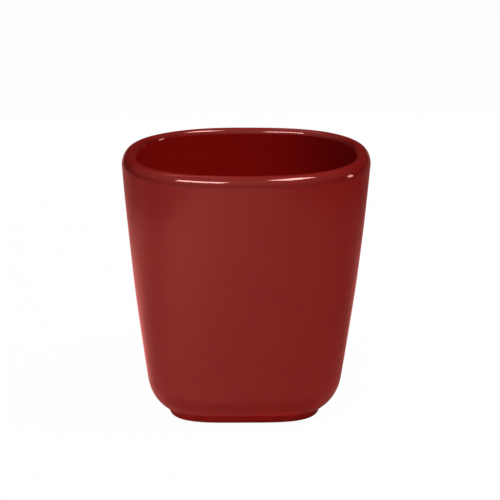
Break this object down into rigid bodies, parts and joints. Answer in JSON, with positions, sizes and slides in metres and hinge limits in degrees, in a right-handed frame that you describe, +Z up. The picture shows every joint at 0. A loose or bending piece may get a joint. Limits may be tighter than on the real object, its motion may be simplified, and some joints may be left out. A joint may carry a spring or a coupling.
{
  "type": "handleless cup",
  "caption": "Handleless glazed ceramic cup with a thick rounded lip and a softly squared section that grows rounder from its small foot to its wide rim.",
  "frame": {"origin": "centre of the standing ring's underside, where the cup meets the table", "axes": "+Z up through the middle of the mouth, X and Y square to the four flatter sides"},
  "size_m": [0.0806, 0.0806, 0.085],
  "materials": {
    "earthenware": "fired buff clay, slip cast and sponged, left bare on the standing ring",
    "red_glaze": "dark red gloss glaze"
  },
  "bodies": {
    "root": {"clay_body": "earthenware", "outer_glaze": "red_glaze", "inner_glaze": "red_glaze", "base_glaze": "red_glaze"}
  },
  "joints": []
}
